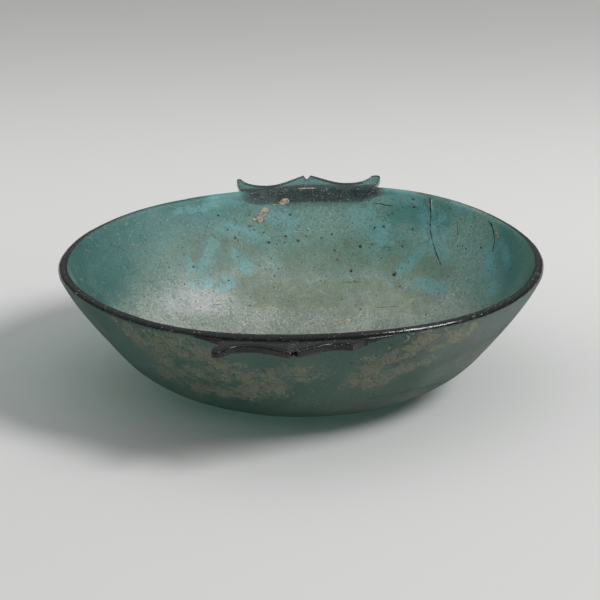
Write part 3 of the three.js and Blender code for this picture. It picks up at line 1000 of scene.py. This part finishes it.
# A material and short ways to add nodes to it. A value is a number or a node's output.
class Tree:
    def __init__(self, name):
        self.material = bpy.data.materials.new(name)
        self.material.use_nodes = True
        self.nodes = self.material.node_tree.nodes
        self.links = self.material.node_tree.links
        self.shader = self.nodes["Principled BSDF"]
        self.place = self.nodes.new("ShaderNodeTexCoord").outputs["Object"]

    def feed(self, value, socket):
        if isinstance(value, bpy.types.NodeSocket):
            self.links.new(value, socket)
        else:
            socket.default_value = value

    def attribute(self, name):
        node = self.nodes.new("ShaderNodeAttribute")
        node.attribute_name = name
        return node.outputs["Fac"]

    # Noise that goes from 0 at the level low to 1 at the level high
    def grain(self, scale, detail, rough, low, high):
        node = self.nodes.new("ShaderNodeTexNoise")
        node.inputs["Scale"].default_value = scale
        node.inputs["Detail"].default_value = detail
        node.inputs["Roughness"].default_value = rough
        self.links.new(self.place, node.inputs["Vector"])
        return self.ramp(node.outputs["Fac"], low, high)

    # Dots of random sizes: how near a point is to the middle of its cell, 1 at the middle
    def dots(self, scale, size):
        node = self.nodes.new("ShaderNodeTexVoronoi")
        node.inputs["Scale"].default_value = scale
        self.links.new(self.place, node.inputs["Vector"])
        pick = self.ramp(self.channel(node.outputs["Color"]), DOTLESS, 1.0)
        return self.ramp(node.outputs["Distance"], self.sum(0, pick, size), 0)

    def channel(self, colour):
        node = self.nodes.new("ShaderNodeSeparateColor")
        self.links.new(colour, node.inputs["Color"])
        return node.outputs["Red"]

    # A smooth step from to_low, at low, to to_high, at high
    def ramp(self, value, low, high, to_low=0.0, to_high=1.0):
        node = self.nodes.new("ShaderNodeMapRange")
        node.interpolation_type = "SMOOTHSTEP"
        entries = {"Value": value, "From Min": low, "From Max": high, "To Min": to_low, "To Max": to_high}
        for name, entry in entries.items():
            self.feed(entry, node.inputs[name])
        return node.outputs["Result"]

    def maths(self, kind, a, b):
        node = self.nodes.new("ShaderNodeMath")
        node.operation = kind
        self.feed(a, node.inputs[0])
        self.feed(b, node.inputs[1])
        return node.outputs[0]

    # a plus b times c
    def sum(self, a, b, c=1.0):
        node = self.nodes.new("ShaderNodeMath")
        node.operation = "MULTIPLY_ADD"
        self.feed(b, node.inputs[0])
        self.feed(c, node.inputs[1])
        self.feed(a, node.inputs[2])
        return node.outputs[0]

    # The layers named in weights, each times its weight, added to start
    def total(self, layers, weights, start=0):
        for name, weight in weights.items():
            start = self.sum(start, layers[name], weight)
        return start

    def mix(self, share, a, b):
        node = self.nodes.new("ShaderNodeMix")
        node.data_type = "RGBA"
        self.feed(share, node.inputs["Factor"])
        for entry, socket in ((a, node.inputs["A"]), (b, node.inputs["B"])):
            self.feed(entry if isinstance(entry, bpy.types.NodeSocket) else (*entry, 1), socket)
        return node.outputs["Result"]

    def blend(self, share, a, b):
        node = self.nodes.new("ShaderNodeMix")
        self.feed(share, node.inputs["Factor"])
        self.feed(a, node.inputs["A"])
        self.feed(b, node.inputs["B"])
        return node.outputs["Result"]

    # A colour under a coat of another colour, as strong as the layer times strength
    def coat(self, colour, layer, strength, tint):
        return self.mix(self.sum(0, layer, strength), colour, tint)

    # A colour shaded towards another where a noise is between two levels
    def shade(self, colour, value, low, high, at_low, at_high, tint):
        return self.mix(self.ramp(value, low, high, at_low, at_high), colour, tint)

    # A painted stain that the mottle breaks into ragged patches
    def broken(self, stained, mottle, gain, weight, low, high):
        return self.ramp(self.sum(self.sum(0, stained, gain), mottle, weight), low, high)

    # The film is the share of the light that doesn't go through the glass
    def surface(self, colour, film, rough, specular):
        self.feed(colour, self.shader.inputs["Base Color"])
        self.feed(self.maths("SUBTRACT", 1.0, film), self.shader.inputs["Transmission Weight"])
        self.feed(rough, self.shader.inputs["Roughness"])
        self.shader.inputs["Specular IOR Level"].default_value = specular

    def absorb(self, colour, density):
        volume = self.nodes.new("ShaderNodeVolumeAbsorption")
        volume.inputs["Color"].default_value = (*colour, 1)
        volume.inputs["Density"].default_value = density
        self.links.new(volume.outputs["Volume"], self.nodes["Material Output"].inputs["Volume"])

    def relief(self, height, depth):
        bump = self.nodes.new("ShaderNodeBump")
        bump.inputs["Distance"].default_value = depth
        self.feed(height, bump.inputs["Height"])
        self.links.new(bump.outputs["Normal"], self.shader.inputs["Normal"])


# What covers the bowl's glass, each between 0 and 1: the painted stains, painted highlight,
# painted light and painted shades, noises of four sizes, and what these make together
def body_layers(tree):
    layers = {name: tree.attribute(name) for name in ("inside", "low", "lip", *STAINS_AND_PAINTED_LIGHT)}
    for name, values in BODY_GRAINS.items():
        layers[name] = tree.grain(*values)
    mottle = tree.total(layers, MOTTLE)
    for name, (painted, *levels) in BROKEN_STAINS.items():
        layers[name] = tree.broken(layers[painted], mottle, *levels)
    for name, (painted, *levels) in THINNED_PAINTED_LIGHT.items():
        layers[name] = tree.maths("MULTIPLY", layers[painted], tree.ramp(mottle, *levels))
    layers["mottle"] = mottle
    layers["pits"] = tree.maths("MAXIMUM", tree.dots(*COARSE_DOTS), tree.dots(*FINE_DOTS))
    return layers


def body_colour(tree, layers):
    cloud, mottle, dust = layers["cloud"], layers["mottle"], layers["dust"]
    depth = tree.ramp(tree.sum(layers["low"], mottle, DEPTH_MOTTLE), *DEPTH_LEVELS)
    inner = tree.mix(depth, tree.mix(cloud, *WALL_GLASS), tree.mix(cloud, *FLOOR_GLASS))
    inner = tree.coat(inner, layers["brown"], *BROWN_COAT)
    # The outer wall, with painted light on the side towards the key lamp
    outer = tree.coat(tree.mix(cloud, *OUTER_GLASS), layers["grey"], *LIT_GREY_COAT)
    outer = tree.shade(outer, mottle, *OUTER_SHADE)
    colour = tree.mix(layers["inside"], outer, inner)
    colour = tree.shade(colour, mottle, *MOTTLE_SHADE)
    colour = tree.shade(colour, tree.maths("MULTIPLY", dust, layers["grit"]), *GRIT_SHADE)
    for name, strength, tint in THIN_COATS:
        colour = tree.coat(colour, layers[name], strength, tint)
    colour = tree.mix(layers["tan"], colour, tree.mix(dust, *SOIL))
    # Painted shade over the rim
    colour = tree.mix(layers["lip"], colour, LIP_PAINTED_SHADE)
    return tree.coat(colour, layers["pits"], *PIT_COAT)


def body_film(tree, layers):
    film = tree.maths("MULTIPLY", layers["inside"], tree.ramp(layers["low"], 0, 1, *INSIDE_FILM))
    film = tree.sum(film, tree.ramp(layers["dust"], *DUST_FILM))
    return tree.blend(layers["lip"], tree.total(layers, BODY_FILM, film), 0.0)


def body_glass_material():
    tree = Tree("body_glass")
    layers = body_layers(tree)
    grit, lip = layers["grit"], layers["lip"]
    rough = tree.blend(layers["tan"], tree.ramp(grit, *BODY_ROUGH), TAN_ROUGH)
    rough = tree.blend(lip, rough, tree.ramp(grit, *LIP_ROUGH))
    tree.surface(body_colour(tree, layers), body_film(tree, layers), rough, BODY_SPECULAR)
    height = tree.total(layers, BODY_RELIEF)
    tree.relief(tree.maths("MULTIPLY", height, tree.blend(lip, 1.0, LIP_RELIEF)), BODY_RELIEF_DEPTH)
    tree.absorb(*BODY_ABSORPTION)
    return tree.material


def handle_glass_material():
    tree = Tree("handle_glass")
    layers = {name: tree.grain(*values) for name, values in HANDLE_GRAINS.items()}
    layers["pits"] = tree.dots(*HANDLE_DOTS)
    patch = layers["patch"]
    # Painted shade: the front handle all over, the back one at its root and edges
    dark = tree.ramp(tree.sum(tree.attribute("shade"), patch, SHADE_PATCH), *SHADE_LEVELS)
    colour = tree.mix(dark, tree.mix(patch, *HANDLE_LIT), tree.mix(patch, *HANDLE_SHADED))
    colour = tree.mix(layers["pits"], colour, HANDLE_PIT)
    film = tree.total(layers, HANDLE_FILM, HANDLE_LEAST_FILM)
    tree.surface(colour, film, tree.ramp(layers["grit"], *HANDLE_ROUGH), HANDLE_SPECULAR)
    tree.relief(tree.total(layers, HANDLE_RELIEF), HANDLE_RELIEF_DEPTH)
    tree.absorb(*HANDLE_ABSORPTION)
    return tree.material


# Matt matter that lies on the glass: dark pits and cracks, pale specks, some of which are
# painted glints, tan deposit
def matter(name, colours, scale):
    tree = Tree(name)
    tree.feed(tree.mix(tree.grain(scale, *MATTER_GRAIN), *colours), tree.shader.inputs["Base Color"])
    tree.shader.inputs["Roughness"].default_value = MATTER_ROUGH
    return tree.material


def floor_material():
    tree = Tree("floor")
    split = tree.nodes.new("ShaderNodeSeparateXYZ")
    tree.links.new(tree.place, split.inputs["Vector"])
    ramp = tree.nodes.new("ShaderNodeValToRGB")
    ramp.color_ramp.interpolation = "B_SPLINE"
    stops = ramp.color_ramp.elements
    # Painted light: the floor darker further behind the bowl
    for i, (away, grey) in enumerate(FLOOR_LIGHT_FALLOFF):
        stop = stops[i] if i < len(stops) else stops.new(away)
        stop.position = away
        stop.color = (grey, grey, grey * FLOOR_BLUE, 1)
    tree.links.new(split.outputs["Y"], ramp.inputs["Fac"])
    tree.feed(ramp.outputs["Color"], tree.shader.inputs["Base Color"])
    tree.shader.inputs["Roughness"].default_value = FLOOR_ROUGH
    return tree.material


def floor():
    far = FLOOR_HALF_WIDTH
    verts = [(-far, -far, 0), (far, -far, 0), (far, far, 0), (-far, far, 0)]
    mesh_object("floor", verts, [(0, 1, 2, 3)], floor_material())


def aim(thing, target):
    thing.rotation_euler = (target - thing.location).to_track_quat("-Z", "Y").to_euler()


def camera():
    data = bpy.data.cameras.new("camera")
    data.sensor_width = SENSOR
    data.lens = SENSOR * FOCAL_PIXELS / FRAME_PIXELS
    data.clip_end = CAMERA_FAR_LIMIT
    data.shift_x = -(AIM_PIXEL[0] - FRAME_PIXELS / 2) / FRAME_PIXELS
    data.shift_y = (AIM_PIXEL[1] - FRAME_PIXELS / 2) / FRAME_PIXELS
    thing = bpy.data.objects.new("camera", data)
    bpy.context.scene.collection.objects.link(thing)
    thing.location = CAMERA_TARGET + camera_axes()[2] * CAMERA_DISTANCE
    aim(thing, CAMERA_TARGET)
    bpy.context.scene.camera = thing


def key_lamp():
    data = bpy.data.lights.new("key", "AREA")
    data.shape = "DISK"
    data.size = KEY_SIZE
    data.energy = KEY_POWER
    thing = bpy.data.objects.new("key", data)
    bpy.context.scene.collection.objects.link(thing)
    thing.location = KEY_PLACE
    aim(thing, KEY_TARGET)


# A soft dome, bright overhead and dim at the horizon
def studio_dome():
    world = bpy.data.worlds.new("studio")
    world.use_nodes = True
    nodes, links = world.node_tree.nodes, world.node_tree.links
    split = nodes.new("ShaderNodeSeparateXYZ")
    links.new(nodes.new("ShaderNodeTexCoord").outputs["Generated"], split.inputs["Vector"])
    dome = nodes.new("ShaderNodeValToRGB")
    for stop, level in zip(dome.color_ramp.elements, (DOME_LOW, DOME_HIGH)):
        stop.color = (level, level, level, 1)
    links.new(split.outputs["Z"], dome.inputs["Fac"])
    links.new(dome.outputs["Color"], nodes["Background"].inputs["Color"])
    bpy.context.scene.world = world


# Painted shade on the rounded rim: all of it in front and at the ends, its outer half behind
def lip_painted_shade(piece):
    inside = stored(piece, "inside")
    behind = np.clip(places(piece)[:, 1] / RIM_RADIUS, 0, 1)
    reach = 1.0 - LIP_FREE_BEHIND * behind
    outer = np.clip((inside - LIP_START) / LIP_SOFT_OUTSIDE, 0, 1)
    shade = outer * np.clip((reach - inside) / LIP_SOFT_INSIDE + 1 / 2, 0, 1)
    store(piece, "lip", np.where(inside < LIP_END, shade, 0))


# How deep in the bowl a point lies: 0 near the rim and 1 on the floor
def depth_shade(piece):
    share = np.clip((LOW_TOP - places(piece)[:, 2]) / LOW_STRETCH, 0, 1)
    store(piece, "low", share * share * (3 - 2 * share))


# Painted shade on a handle: the front one all over, the back one at its root and edges
def handle_painted_shade(piece, whole):
    at = places(piece)
    level = np.abs(vectors(piece, "normal")[:, 2])
    edge = np.clip((EDGE_STEEPNESS - level) / EDGE_SOFT, 0, 1)
    out = np.hypot(at[:, 0], at[:, 1]) - RIM_RADIUS
    root = np.clip((ROOT_SHADE_REACH - out) / ROOT_SHADE_SOFT, 0, 1)
    store(piece, "shade", np.maximum(np.maximum(EDGE_SHADE * edge, root), whole))


# The bowl with its stains painted on, and its painted highlight, painted light and painted shades
def glass_bowl():
    bowl = bowl_mesh(body_glass_material())
    surface = Surface(bowl)
    lip_painted_shade(bowl)
    depth_shade(bowl)
    for name, marks in STAINS_AND_PAINTED_LIGHT.items():
        painted_patch(bowl, surface, name, marks)
    dress(bowl)
    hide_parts("bowl")
    return bowl, surface


# The photograph shows the upper inside of the +Y side, and marks lie there by pixels
def off_the_seen_wall(at):
    return at.y < 0 or at.z < WALL_PIT_TOP


# All that lies on the bowl's glass
def marks_on_bowl(bowl, surface, pale):
    dark = matter("dark_pit", DARK_MATTER, FINE_MATTER)
    tan = matter("tan_deposit", TAN_MATTER, COARSE_MATTER)
    flecks("pits", surface, dark, marks=PITS, boxes=DARK_SPECKS, sizes=DARK_SPECK_SIZES)
    flecks("ring_pit", surface, pale, marks=(RING_PIT,))
    # Pale specks, partly weathering and partly painted glints
    flecks("specks_and_glints", surface, pale, boxes=FROST_AND_GLINTS, sizes=PALE_SPECK_SIZES)
    # Painted glints on the rim, as pale specks
    scattered("rim_glints", bowl, pale, RIM_GLINT_COUNT, RIM_GLINT_SHARES, RIM_GLINT_SIZES)
    scattered("wall_pits", bowl, dark, WALL_PIT_COUNT, WALL_PIT_SHARES, WALL_PIT_SIZES, off_the_seen_wall)
    strips("cracks", surface, CRACKS, CRACK_LIFT, dark)
    strips("deposits", surface, DEPOSITS, DEPOSIT_LIFT, tan, across=DEPOSIT_RIDGES)


# A handle at the +Y side, or turned half round to the -Y side, where its tip is broken
def glass_handle(name, turn, loss, material):
    handle = handle_mesh(name + "_glass", turn, loss, material)
    evened(handle)
    if loss:
        cut(handle, broken_tip(material))
        evened(handle)
    with_modifier(handle, "SMOOTH", factor=SMOOTHING, iterations=SMOOTH_PASSES)
    handle_painted_shade(handle, 1 if loss else 0)
    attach(handle, "root")
    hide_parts(name)
    return handle


random.seed(SEED)
camera()
floor()
key_lamp()
studio_dome()

pale_and_glint_matter = matter("pale_speck_and_glint", PALE_AND_GLINT_MATTER, FINE_MATTER)
marks_on_bowl(*glass_bowl(), pale_and_glint_matter)

handle_glass = handle_glass_material()
glass_handle("back_handle", 1, 0, handle_glass)
front_handle = glass_handle("front_handle", -1, WORN_DEPTH, handle_glass)
# White marks and painted glints on the front handle
flecks("handle_specks_and_glints", Surface(front_handle), pale_and_glint_matter, boxes=HANDLE_SPECKS_AND_GLINTS, sizes=HANDLE_SPECK_AND_GLINT_SIZES)

bpy.context.scene.view_settings.view_transform = "Standard"
